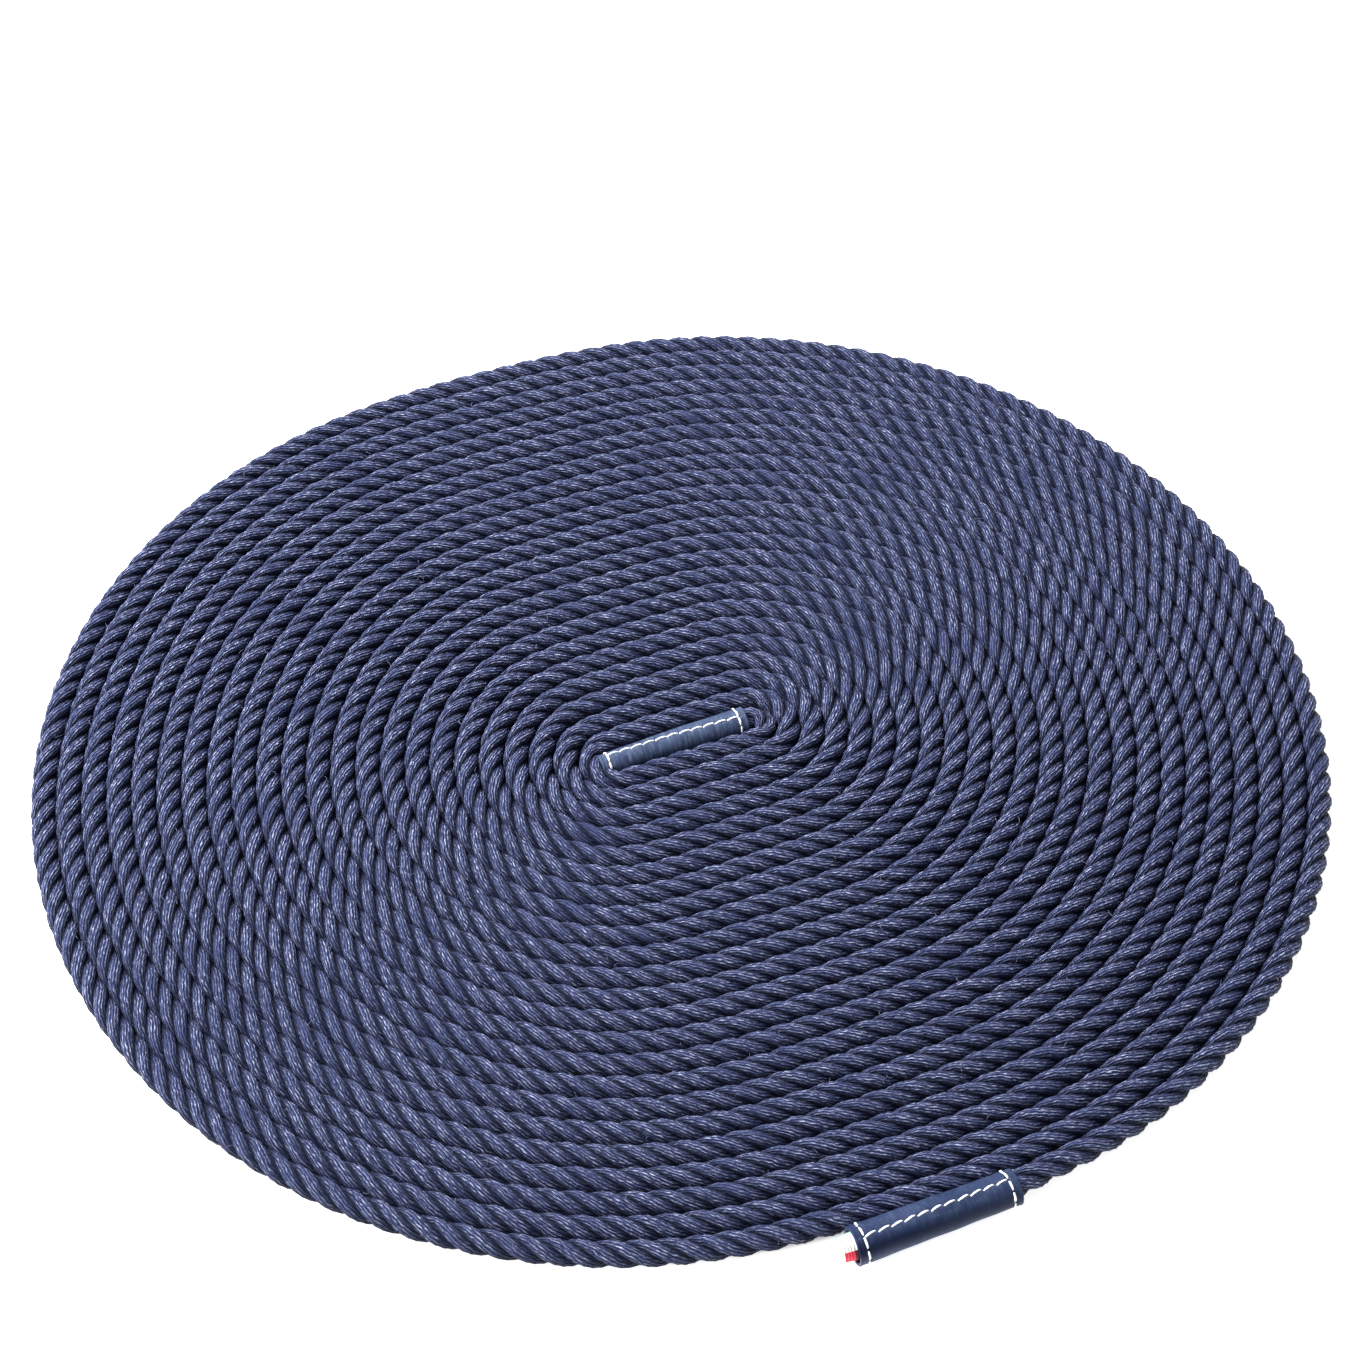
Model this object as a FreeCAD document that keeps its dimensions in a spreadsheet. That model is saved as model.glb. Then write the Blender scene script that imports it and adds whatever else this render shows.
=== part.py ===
"""Coiled dock line: a three-strand rope wound flat around its own leather-sleeved end.

Frame: millimetres, +Z up, X along the two sleeves, origin under the middle of the
whole object on the plane that it lies on.  The rope leaves the inner sleeve at its
+X end, folds back beside it, winds clockwise and ends in the outer sleeve at -Y.
"""
import FreeCAD
import Part
import math
import os
import sys

import Sketcher
from FreeCAD import Placement, Rotation, Vector

# Driving dimensions in millimetres and degrees; shares, ratios and turns have no unit.
DIMENSIONS = [
    # rope and the line of the coil
    ("rope_diameter", 10.0),
    ("turn_pitch", 10.0),
    ("first_turn_offset", 6.5),
    ("full_turns", 23.0),
    ("turn_start", 0.242),
    ("turn_end", 23.21),
    ("straight_start", 29.0),
    ("straight_end", 26.0),
    ("corner_start", 0.04),
    ("corner_growth", 0.13),
    ("swing_start", 1.57),
    ("swing_end", 0.80),
    ("shift_start", 3.0),
    ("shift_end", 1.6),
    ("drift_far", 4.0),
    ("skew", 0.0175),
    ("rim_round", 4.0),
    ("fold_reach", 5.9),
    ("gap", 0.1),
    # leather sleeves
    ("leather_thickness", 1.2),
    ("sleeve_length", 64.5),
    ("inner_bore", 10.0),
    ("outer_bore", 11.6),
    ("outer_sleeve_left", -26.5),
    ("lip_round", 0.4),
    # stitching
    ("thread_diameter", 0.7),
    ("thread_sunk", 0.55),
    ("seam_stitches", 11),
    ("ring_stitches", 9),
    ("ring_margin", 3.5),
    ("stitch_share", 0.78),
    ("stitch_slant", 8.0),
    ("inner_seam_left", 115.0),
    ("inner_seam_right", 86.0),
    ("outer_seam_left", 82.0),
    ("outer_seam_right", 93.0),
    # ribbon tab in the mouth of the outer sleeve
    ("ribbon_thickness", 0.45),
    ("ribbon_from", -35.0),
    ("ribbon_wrap", 225.0),
    ("ribbon_root", 12.0),
    ("ribbon_proud", 6.5),
    # how far each rope end stops short of its sleeve's closed or free end
    ("inner_end_recess", 6.25),
    ("outer_end_recess", 21.5),
    # the inner sleeve's middle, seen from the middle of the whole object
    ("centre_x", -4.14),
    ("centre_y", 2.01),
]

# Where the rope from the coil bends to point straight into the outer sleeve, seen from
# the inner sleeve's middle.
TAIL_BEND_X = 50.0

doc = FreeCAD.newDocument("coiled_dock_line")
sheet = doc.addObject("Spreadsheet::Sheet", "dims")
for row_number, (alias, value) in enumerate(DIMENSIONS, start=1):
    sheet.set("A%d" % row_number, alias)
    sheet.set("B%d" % row_number, str(value))
    sheet.setAlias("B%d" % row_number, alias)
doc.recompute()


def dim(alias):
    """The value of one driving dimension."""
    return float(sheet.get(alias))


ROPE_RADIUS = dim("rope_diameter") / 2
THREAD_RADIUS = dim("thread_diameter") / 2
SLEEVE_HALF = dim("sleeve_length") / 2
INNER_SLEEVE_RADIUS = dim("inner_bore") / 2 + dim("leather_thickness")
OUTER_SLEEVE_RADIUS = dim("outer_bore") / 2 + dim("leather_thickness")
# the sleeves lie on their ring stitches, and both rope ends lie on the leather under them
THREAD_PROUD = dim("thread_diameter") - dim("thread_sunk")
ROPE_IN_SLEEVE_Z = THREAD_PROUD + dim("leather_thickness") + ROPE_RADIUS
CENTRE = Vector(dim("centre_x"), dim("centre_y"), 0)
X_AXIS = Vector(1, 0, 0)


# ---------------------------------------------------------------- the coil's line
def coil_point(turn):
    """Middle of the rope after that many turns, seen from the inner sleeve's middle."""
    angle = 2 * math.pi * turn
    share = turn / dim("full_turns")
    straight = dim("straight_start") + (dim("straight_end") - dim("straight_start")) * share
    corner = dim("corner_start") + dim("corner_growth") * share
    swing = dim("swing_start") + (dim("swing_end") - dim("swing_start")) * share
    shift = dim("shift_start") + (dim("shift_end") - dim("shift_start")) * share
    side = math.cos(angle) / math.hypot(math.cos(angle), corner * math.sin(angle))
    grown = turn * (1 + dim("skew") * math.sin(2 * angle)) + swing * math.sin(angle) / (2 * math.pi)
    radius = dim("first_turn_offset") + dim("turn_pitch") * grown
    x = shift + straight * side + radius * math.cos(angle)
    y = dim("drift_far") * share - radius * math.sin(angle)
    return Vector(x, y, ROPE_RADIUS)


def coil_run(turn):
    """Way that the rope runs there, as long as one whole turn at that rate."""
    step = 0.001
    return (coil_point(turn + step) - coil_point(turn - step)) / (2 * step)


def coil_rim(turn):
    """Outermost point of the rope there, seen from above."""
    along = coil_run(turn).normalize()
    rim = coil_point(turn) + Vector(-along.y, along.x, 0) * ROPE_RADIUS
    return Vector(rim.x, rim.y, 0)


def outer_sleeve_y():
    """The outer sleeve lies against the turn inside it."""
    nearest = coil_rim(dim("full_turns") - 0.75).y
    return nearest - OUTER_SLEEVE_RADIUS - dim("gap")


# ---------------------------------------------------------------- helpers
def origin_plane(body, role):
    """One of the body's own base planes or axes."""
    for feature in body.Origin.OriginFeatures:
        if feature.Role == role:
            return feature
    raise ValueError(role)


def new_body(label, place):
    body = doc.addObject("PartDesign::Body", label)
    body.Label = label
    body.Placement = Placement(CENTRE + place, Rotation())
    return body


def new_sketch(body, name, role):
    sketch = body.newObject("Sketcher::SketchObject", name)
    sketch.AttachmentSupport = [(origin_plane(body, role), "")]
    sketch.MapMode = "FlatFace"
    return sketch


def add_polygon(sketch, corners):
    """Closed outline of straight lines, each one's end fixed to the next one's start."""
    lines = []
    for start, end in zip(corners, corners[1:] + corners[:1]):
        lines.append(sketch.addGeometry(Part.LineSegment(start, end), False))
    for line, following in zip(lines, lines[1:] + lines[:1]):
        sketch.addConstraint(Sketcher.Constraint("Coincident", line, 2, following, 1))


def add_bound_circle(sketch, name, radius, expression):
    """Circle about the sketch's origin with its radius bound to the sheet."""
    circle = sketch.addGeometry(Part.Circle(Vector(0, 0, 0), Vector(0, 0, 1), radius), False)
    sketch.addConstraint(Sketcher.Constraint("Coincident", circle, 3, -1, 1))
    constraint = sketch.addConstraint(Sketcher.Constraint("Radius", circle, radius))
    sketch.renameConstraint(constraint, name)
    sketch.setExpression("Constraints." + name, expression)


# ---------------------------------------------------------------- coil
def make_coil():
    """Outer shape of the wound rope: a flat oval with one step where the rope leaves it."""
    body = new_body("rope_coil", Vector(0, 0, 0))
    outline = new_sketch(body, "coil_outline", "XY_Plane")
    points_per_turn = 60
    last = dim("turn_end")
    first = last - 1
    # the step that closes the outline is square to the rope
    run = coil_run(last)
    first += (coil_rim(last) - coil_rim(first)).dot(run) / run.dot(run)
    share = (last - first) / points_per_turn
    rim = [coil_rim(first + share * index) for index in range(points_per_turn + 1)]
    curve = Part.BSplineCurve()
    curve.interpolate(rim)
    outline.addGeometry(curve, False)
    outline.addGeometry(Part.LineSegment(rim[-1], rim[0]), False)
    disc = body.newObject("PartDesign::Pad", "coil_disc")
    disc.Profile = outline
    disc.setExpression("Length", "dims.rope_diameter")
    doc.recompute()

    rim_edges = []
    for index, edge in enumerate(disc.Shape.Edges, start=1):
        flat = abs(edge.BoundBox.ZMax - edge.BoundBox.ZMin) < 1e-6
        if flat and edge.Length > dim("turn_pitch") * 10:
            rim_edges.append("Edge%d" % index)
    rounded = body.newObject("PartDesign::Fillet", "coil_rim")
    rounded.Base = (disc, rim_edges)
    rounded.setExpression("Radius", "dims.rim_round")
    doc.recompute()

    # room for the inner sleeve, and for the rope that folds back beside it
    start = coil_point(dim("turn_start"))
    half_width = -start.y - ROPE_RADIUS
    left = -SLEEVE_HALF - dim("gap")
    right = SLEEVE_HALF + dim("fold_reach") + ROPE_RADIUS + dim("gap")
    near = start.y - ROPE_RADIUS - dim("gap")
    room = new_sketch(body, "sleeve_room", "XY_Plane")
    corners = [
        Vector(left, -half_width, 0),
        Vector(start.x, -half_width, 0),
        Vector(start.x, near, 0),
        Vector(right, near, 0),
        Vector(right, half_width, 0),
        Vector(left, half_width, 0),
    ]
    add_polygon(room, corners)
    pocket = body.newObject("PartDesign::Pocket", "sleeve_pocket")
    pocket.Profile = room
    pocket.Reversed = True
    pocket.setExpression("Length", "dims.rope_diameter")
    body.Tip = pocket
    return body


# ---------------------------------------------------------------- rope ends
def rounded_route(name, points):
    """Wire of straight runs joined by tangent arcs, each as large as its runs allow."""
    edges = []
    reached = points[0]
    for before, corner, after in zip(points, points[1:], points[2:]):
        arriving = (corner - before).normalize()
        leaving = (after - corner).normalize()
        half_turn = arriving.getAngle(leaving) / 2
        setback = 0.45 * min((corner - before).Length, (after - corner).Length)
        radius = setback / math.tan(half_turn)
        start = corner - arriving * setback
        end = corner + leaving * setback
        centre = corner + (leaving - arriving).normalize() * (radius / math.cos(half_turn))
        middle = centre + (corner - centre).normalize() * radius
        edges.append(Part.LineSegment(reached, start).toShape())
        edges.append(Part.Arc(start, middle, end).toShape())
        reached = end
        print("%s: turn %.0f degrees, radius %.1f" % (name, math.degrees(2 * half_turn), radius))
    edges.append(Part.LineSegment(reached, points[-1]).toShape())
    return Part.Wire(edges)


def make_rope_end(label, points):
    """Plain round tube along the route."""
    route = doc.addObject("Part::Feature", label + "_route")
    route.Shape = rounded_route(label, points)
    section = doc.addObject("Part::Circle", label + "_section")
    section.setExpression("Radius", "dims.rope_diameter / 2")
    section.Placement = Placement(points[0], Rotation(Vector(0, 0, 1), points[1] - points[0]))
    doc.recompute()
    tube = doc.addObject("Part::Sweep", label)
    tube.Label = label
    tube.Sections = [section]
    tube.Spine = (route, ["Edge%d" % number for number in range(1, len(route.Shape.Edges) + 1)])
    tube.Solid = True
    tube.Frenet = False
    tube.Placement = Placement(CENTRE, Rotation())
    doc.recompute()
    expected = math.pi * ROPE_RADIUS ** 2 * route.Shape.Length
    print("%s: length %.1f, volume / (section x length) %.4f"
          % (label, route.Shape.Length, tube.Shape.Volume / expected))
    return tube


def inner_route():
    """Straight inside the sleeve, then folded back beside it to the start of the coil."""
    coil_start = coil_point(dim("turn_start"))
    fold_x = SLEEVE_HALF + dim("fold_reach")
    return [
        Vector(dim("inner_end_recess") - SLEEVE_HALF, 0, ROPE_IN_SLEEVE_Z),
        Vector(fold_x, 0, ROPE_IN_SLEEVE_Z),
        Vector(fold_x, coil_start.y, ROPE_RADIUS),
        coil_start,
    ]


def tail_route():
    """From the end of the coil along its edge, then straight into the outer sleeve."""
    sleeve_y = outer_sleeve_y()
    end_x = dim("outer_sleeve_left") + dim("outer_end_recess")
    return [
        coil_point(dim("turn_end")),
        Vector(TAIL_BEND_X, sleeve_y, ROPE_IN_SLEEVE_Z),
        Vector(end_x, sleeve_y, ROPE_IN_SLEEVE_Z),
    ]


# ---------------------------------------------------------------- sleeves
def make_sleeve(label, bore_alias, place):
    """Leather tube along X with softened lips; place is the middle of its left end."""
    body = new_body(label, place)
    section = new_sketch(body, label + "_section", "YZ_Plane")
    bore = dim(bore_alias) / 2
    leather = dim("leather_thickness")
    add_bound_circle(section, "outside", bore + leather, "dims.%s / 2 + dims.leather_thickness" % bore_alias)
    add_bound_circle(section, "bore", bore, "dims.%s / 2" % bore_alias)
    tube = body.newObject("PartDesign::Pad", label + "_tube")
    tube.Profile = section
    tube.setExpression("Length", "dims.sleeve_length")
    doc.recompute()
    lips = []
    for index, edge in enumerate(tube.Shape.Edges, start=1):
        if len(edge.Vertexes) == 1 and abs(edge.Curve.Radius - bore - leather) < 1e-6:
            lips.append("Edge%d" % index)
    lip = body.newObject("PartDesign::Fillet", label + "_lips")
    lip.Base = (tube, lips)
    lip.setExpression("Radius", "dims.lip_round")
    doc.recompute()

    # the ring stitches are pulled down into the leather
    channels = new_sketch(body, label + "_channels", "XZ_Plane")
    floor = bore + leather - dim("thread_sunk")
    for x in (dim("ring_margin"), dim("sleeve_length") - dim("ring_margin")):
        add_polygon(channels, [
            Vector(x - THREAD_RADIUS, floor, 0),
            Vector(x + THREAD_RADIUS, floor, 0),
            Vector(x + THREAD_RADIUS, floor + leather, 0),
            Vector(x - THREAD_RADIUS, floor + leather, 0),
        ])
    groove = body.newObject("PartDesign::Groove", label + "_grooves")
    groove.Profile = channels
    groove.ReferenceAxis = (origin_plane(body, "X_Axis"), [""])
    groove.Angle = 360
    body.Tip = groove
    return body


# ---------------------------------------------------------------- stitching
def stitch_group(label, stitches):
    group = doc.addObject("Part::Compound", label)
    group.Label = label
    group.Links = stitches
    group.Placement = Placement(CENTRE, Rotation())
    return group


def make_seam(label, place, radius, angle_left, angle_right):
    """Row of slanted stitches on the leather, from the left ring to the right one."""
    count = int(dim("seam_stitches"))
    run = dim("sleeve_length") - 2 * dim("ring_margin")
    pitch = run / count
    turn = math.radians(angle_right - angle_left) * radius / run
    lean = math.degrees(turn) + dim("stitch_slant")
    stitches = []
    for index in range(count):
        share = (index + 0.5) / count
        angle = angle_left + (angle_right - angle_left) * share
        stitch = doc.addObject("Part::Cylinder", "%s_%d" % (label, index + 1))
        stitch.setExpression("Radius", "dims.thread_diameter / 2")
        stitch.setExpression(
            "Height",
            "(dims.sleeve_length - 2 * dims.ring_margin) / dims.seam_stitches * dims.stitch_share",
        )
        # built along Z from its own base, so centred, laid along X and leant before it is placed
        centred = Placement(Vector(0, 0, -pitch * dim("stitch_share") / 2), Rotation())
        laid = Placement(Vector(0, 0, 0), Rotation(Vector(0, 1, 0), 90))
        leant = Placement(Vector(0, 0, 0), Rotation(Vector(0, 0, 1), lean))
        lifted = Placement(Vector(0, 0, radius + THREAD_RADIUS), Rotation())
        around = Placement(Vector(0, 0, 0), Rotation(X_AXIS, 90 - angle))
        along = Placement(place + Vector(dim("ring_margin") + run * share, 0, 0), Rotation())
        stitch.Placement = along * around * lifted * leant * laid * centred
        stitches.append(stitch)
    return stitch_group(label, stitches)


def make_rings(label, place, radius):
    """A ring of stitches round each end of a sleeve."""
    count = int(dim("ring_stitches"))
    stitches = []
    for end, x in (("left", dim("ring_margin")), ("right", dim("sleeve_length") - dim("ring_margin"))):
        for index in range(count):
            stitch = doc.addObject("Part::Torus", "%s_%s_%d" % (label, end, index + 1))
            stitch.Radius1 = radius + THREAD_RADIUS - dim("thread_sunk")
            stitch.setExpression("Radius2", "dims.thread_diameter / 2")
            stitch.setExpression("Angle3", "360 / dims.ring_stitches * dims.stitch_share")
            upright = Placement(Vector(0, 0, 0), Rotation(Vector(0, 1, 0), 90))
            around = Placement(Vector(0, 0, 0), Rotation(X_AXIS, 360 * index / count))
            along = Placement(place + Vector(x, 0, 0), Rotation())
            stitch.Placement = along * around * upright
            stitches.append(stitch)
    return stitch_group(label, stitches)


# ---------------------------------------------------------------- ribbon tab
def make_ribbon(place):
    """Ribbon bent round the inside of the sleeve's mouth, standing out of it."""
    body = new_body("ribbon_tab", place)
    body.Placement = body.Placement * Placement(Vector(0, 0, 0), Rotation(X_AXIS, dim("ribbon_from")))
    section = new_sketch(body, "ribbon_section", "XZ_Plane")
    outside = dim("outer_bore") / 2
    inside = outside - dim("ribbon_thickness")
    corners = [
        Vector(-dim("ribbon_proud"), inside, 0),
        Vector(dim("ribbon_root"), inside, 0),
        Vector(dim("ribbon_root"), outside, 0),
        Vector(-dim("ribbon_proud"), outside, 0),
    ]
    add_polygon(section, corners)
    ribbon = body.newObject("PartDesign::Revolution", "ribbon_bend")
    ribbon.Profile = section
    ribbon.ReferenceAxis = (origin_plane(body, "X_Axis"), [""])
    ribbon.setExpression("Angle", "dims.ribbon_wrap")
    body.Tip = ribbon
    return body


# ---------------------------------------------------------------- assembly
inner_place = Vector(-SLEEVE_HALF, 0, THREAD_PROUD + INNER_SLEEVE_RADIUS)
outer_place = Vector(dim("outer_sleeve_left"), outer_sleeve_y(), THREAD_PROUD + OUTER_SLEEVE_RADIUS)

parts = [
    make_coil(),
    make_rope_end("rope_inner_end", inner_route()),
    make_rope_end("rope_outer_end", tail_route()),
    make_sleeve("inner_sleeve", "inner_bore", inner_place),
    make_sleeve("outer_sleeve", "outer_bore", outer_place),
    make_seam("inner_seam_stitches", inner_place, INNER_SLEEVE_RADIUS,
              dim("inner_seam_left"), dim("inner_seam_right")),
    make_seam("outer_seam_stitches", outer_place, OUTER_SLEEVE_RADIUS,
              dim("outer_seam_left"), dim("outer_seam_right")),
    make_rings("inner_ring_stitches", inner_place, INNER_SLEEVE_RADIUS),
    make_rings("outer_ring_stitches", outer_place, OUTER_SLEEVE_RADIUS),
    make_ribbon(outer_place),
]
doc.recompute()

faults = []
for item in doc.Objects:
    if {"Invalid", "Error"} & set(item.State):
        faults.append("%s: %s" % (item.Name, item.State))
for part in parts:
    if part.Shape.isNull() or not part.Shape.isValid():
        faults.append(part.Label + ": bad shape")
if faults:
    print("\n".join(faults))
    sys.exit(1)

os.makedirs("parts", exist_ok=True)
whole = FreeCAD.BoundBox()
for part in parts:
    part.Shape.exportStep(os.path.join("parts", part.Label + ".step"))
    whole.add(part.Shape.BoundBox)
    print("%-22s volume %10.1f  solids %d" % (part.Label, part.Shape.Volume, len(part.Shape.Solids)))
print("x %.2f to %.2f, y %.2f to %.2f, z %.2f to %.2f"
      % (whole.XMin, whole.XMax, whole.YMin, whole.YMax, whole.ZMin, whole.ZMax))
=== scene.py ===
"""Coiled dock line: three-strand rope, two leather sleeves, their stitching and a ribbon tab."""

import math
import random

import bpy
import numpy as np
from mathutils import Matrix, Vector, noise


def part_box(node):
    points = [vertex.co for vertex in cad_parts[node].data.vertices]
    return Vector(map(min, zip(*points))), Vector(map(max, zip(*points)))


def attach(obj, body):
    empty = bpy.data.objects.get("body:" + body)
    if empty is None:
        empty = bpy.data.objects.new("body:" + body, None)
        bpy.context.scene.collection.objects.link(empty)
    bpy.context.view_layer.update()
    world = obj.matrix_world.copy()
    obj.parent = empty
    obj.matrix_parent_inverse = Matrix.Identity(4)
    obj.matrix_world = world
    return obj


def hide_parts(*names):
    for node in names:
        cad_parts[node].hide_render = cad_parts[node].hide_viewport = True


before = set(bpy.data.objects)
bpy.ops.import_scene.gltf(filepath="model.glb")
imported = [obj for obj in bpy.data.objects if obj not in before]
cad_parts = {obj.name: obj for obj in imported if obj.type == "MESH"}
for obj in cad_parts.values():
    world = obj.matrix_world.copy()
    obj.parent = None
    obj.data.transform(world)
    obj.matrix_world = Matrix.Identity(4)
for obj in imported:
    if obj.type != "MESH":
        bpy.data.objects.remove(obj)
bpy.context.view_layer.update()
scene = bpy.context.scene
MM = 0.001

# ---------------------------------------------------------------- the frame's own sizes
# the inner sleeve's middle, which the coil's line is worked out from
SLEEVE_LOW, SLEEVE_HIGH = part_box("inner_sleeve")
CENTRE = np.array([(SLEEVE_LOW.x + SLEEVE_HIGH.x) / 2, (SLEEVE_LOW.y + SLEEVE_HIGH.y) / 2, 0.0])
OUTER_LOW, OUTER_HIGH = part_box("outer_sleeve")
OUTER_Y = (OUTER_LOW.y + OUTER_HIGH.y) / 2 - CENTRE[1]

# ---------------------------------------------------------------- camera
CAMERA_LENS = 63.23  # mm, on a sensor 36 mm wide
CAMERA_SHIFT = (0.0038, 0.0511)
CAMERA_FROM_AIM = (-0.2284, -0.5798, 0.7727)


def make_camera():
    """Camera above the outer sleeve's side, aimed at the inner sleeve's middle."""
    data = bpy.data.cameras.new("camera")
    data.sensor_width = 36.0
    data.lens = CAMERA_LENS
    data.shift_x, data.shift_y = CAMERA_SHIFT
    data.clip_start = 0.05
    camera = bpy.data.objects.new("camera", data)
    scene.collection.objects.link(camera)
    aim = Vector(CENTRE)
    camera.location = aim + Vector(CAMERA_FROM_AIM)
    camera.rotation_mode = "QUATERNION"
    camera.rotation_quaternion = (aim - camera.location).to_track_quat("-Z", "Y")
    scene.camera = camera


make_camera()

# ---------------------------------------------------------------- the rope's line
ROPE = 10.0 * MM
FULL_TURNS = 23.0
TURN_START = 0.242
TURN_END = 23.21
POINT_EVERY = 9.0  # mm of rope between two points of a turn
FIRST_RADIUS = 6.5  # mm, and PITCH more for each turn
PITCH = 10.0
SKEW = 0.0175  # how much the turns bulge along one diagonal
DRIFT = 4.0  # mm in Y from the first turn to the last


def between(first, last, share):
    return first + (last - first) * share


def coil_point(turn):
    """Middle of the rope after that many turns, in mm from the inner sleeve's middle."""
    angle = 2 * math.pi * turn
    share = turn / FULL_TURNS
    # half the straight run, how rounded its ends are, how much the growth swings within a turn,
    # and how far right the turn lies
    straight = between(29.0, 26.0, share)
    corner = between(0.04, 0.17, share)
    swing = between(1.57, 0.80, share)
    shift = between(3.0, 1.6, share)
    side = math.cos(angle) / math.hypot(math.cos(angle), corner * math.sin(angle))
    grown = turn * (1 + SKEW * math.sin(2 * angle)) + swing * math.sin(angle) / (2 * math.pi)
    radius = FIRST_RADIUS + PITCH * grown
    x = shift + straight * side + radius * math.cos(angle)
    y = DRIFT * share - radius * math.sin(angle)
    return np.array([x, y, 5.0])


def coil_points():
    """Points of every turn, evenly spaced along the rope."""
    points = []
    turn = TURN_START
    while turn < TURN_END:
        points.append(coil_point(turn))
        rate = np.linalg.norm(coil_point(turn + 0.0005) - coil_point(turn - 0.0005)) / 0.001
        turn += POINT_EVERY / rate
    return points


# inside the inner sleeve, out of it and folded back beside it
INNER_ROUTE = [(-26.0, -1.6, 5.3), (27.0, -0.7, 6.0), (38.15, -0.4, 6.2), (38.15, -11.3, 5.0)]
# along the coil's edge and into the outer sleeve, whose mouth it enters on the coil's side
AXIS_Y = OUTER_Y / MM
TAIL_ROUTE = [
    (66.0, AXIS_Y + 5.6, 5.0), (52.0, AXIS_Y + 4.4, 5.2), (40.0, AXIS_Y + 2.1, 6.0),
    (27.0, AXIS_Y + 0.4, 6.35), (-5.0, AXIS_Y, 6.35)]


def smooth_line(points):
    """Points along the NURBS curve that has these as its control points."""
    curve = bpy.data.curves.new("rope_line", "CURVE")
    curve.dimensions = "3D"
    spline = curve.splines.new("NURBS")
    spline.points.add(len(points) - 1)
    for target, point in zip(spline.points, points):
        target.co = (*point, 1.0)
    spline.order_u = 3
    spline.use_endpoint_u = True
    spline.resolution_u = 5
    holder = bpy.data.objects.new("rope_line", curve)
    mesh = bpy.data.meshes.new_from_object(holder)
    line = np.array([vertex.co for vertex in mesh.vertices], float)
    bpy.data.objects.remove(holder)
    bpy.data.meshes.remove(mesh)
    return line


def spaced(line, step):
    """The same line with its points a step apart, and how far along it each one is."""
    along = np.concatenate([[0], np.cumsum(np.linalg.norm(np.diff(line, axis=0), axis=1))])
    count = int(round(along[-1] / step))
    at = np.linspace(0, along[-1], count + 1)
    return np.stack([np.interp(at, along, line[:, axis]) for axis in range(3)], axis=1), at


def frames(line):
    """Unit vectors along the line, to its left and upwards at each point."""
    along = np.gradient(line, axis=0)
    along /= np.linalg.norm(along, axis=1)[:, None]
    left = np.cross([0.0, 0.0, 1.0], along)
    left /= np.linalg.norm(left, axis=1)[:, None]
    return along, left, np.cross(along, left)


# ---------------------------------------------------------------- meshes
def show(mesh, material):
    """The piece that shows a finished mesh, named after it."""
    piece = bpy.data.objects.new(mesh.name, mesh)
    scene.collection.objects.link(piece)
    mesh.materials.append(material)
    return piece


def tube_grid(at, around, closed):
    """Quads of one tube as indices of its points ring by ring, and their corner coordinates.

    at holds how far along each ring is, and one more number if the last ring joins the first.
    """
    rings = len(at) - 1
    ring, side = np.meshgrid(np.arange(rings), np.arange(around), indexing="ij")
    ahead = (side + 1) % around
    first = ring * around
    second = (ring + 1) % (rings if closed else rings + 1) * around
    quads = np.stack([first + side, first + ahead, second + ahead, second + side], axis=-1)
    u0, u1 = at[ring], at[ring + 1]
    v0, v1 = side / around, (side + 1) / around
    corners = [(u0, v0), (u0, v1), (u1, v1), (u1, v0)]
    uv = np.stack([np.stack(corner, axis=-1) for corner in corners], axis=-2)
    return quads.reshape(-1, 4), uv.reshape(-1, 2)


def tubes(name, parts, material, closed=False):
    """One mesh of tubes, each from an array of rings of points and how far along each ring is."""
    points, loops, sizes, coordinates = [], [], [], []
    offset = 0
    for rings, at in parts:
        count, around = rings.shape[:2]
        quads, uv = tube_grid(np.asarray(at, float), around, closed)
        points.append(rings.reshape(-1, 3))
        loops.append((quads + offset).ravel())
        sizes.append(np.full(len(quads), 4))
        coordinates.append(uv)
        if not closed:
            one_end = np.arange(around)
            ends = np.concatenate([one_end[::-1], one_end + (count - 1) * around])
            loops.append(ends + offset)
            sizes.append(np.array([around, around]))
            coordinates.append(np.repeat([[at[0], 0.0], [at[-1], 0.0]], around, axis=0))
        offset += count * around
    points, loops = np.concatenate(points), np.concatenate(loops)
    sizes, coordinates = np.concatenate(sizes), np.concatenate(coordinates)
    mesh = bpy.data.meshes.new(name)
    mesh.vertices.add(len(points))
    mesh.vertices.foreach_set("co", points.astype(np.float32).ravel())
    mesh.loops.add(len(loops))
    mesh.loops.foreach_set("vertex_index", loops.astype(np.int32))
    mesh.polygons.add(len(sizes))
    starts = np.concatenate([[0], np.cumsum(sizes)[:-1]])
    mesh.polygons.foreach_set("loop_start", starts.astype(np.int32))
    mesh.update(calc_edges=True)
    mesh.polygons.foreach_set("use_smooth", [True] * len(mesh.polygons))
    layer = mesh.uv_layers.new(name="along_around")
    layer.data.foreach_set("uv", coordinates.astype(np.float32).ravel())
    mesh.update()
    return show(mesh, material)


def rings_along(line, wide, tall, out, around=8):
    """Rings of an oval section along a line; out is the way that its short side faces."""
    along = np.gradient(line, axis=0)
    along /= np.linalg.norm(along, axis=1)[:, None]
    side = np.cross(along, out)
    side /= np.linalg.norm(side, axis=1)[:, None]
    up = np.cross(side, along)
    angles = np.arange(around) * 2 * math.pi / around
    across = np.cos(angles)[None, :, None] * side[:, None, :] * np.reshape(wide, (-1, 1, 1))
    upward = np.sin(angles)[None, :, None] * up[:, None, :] * np.reshape(tall, (-1, 1, 1))
    return line[:, None, :] + across + upward


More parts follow.
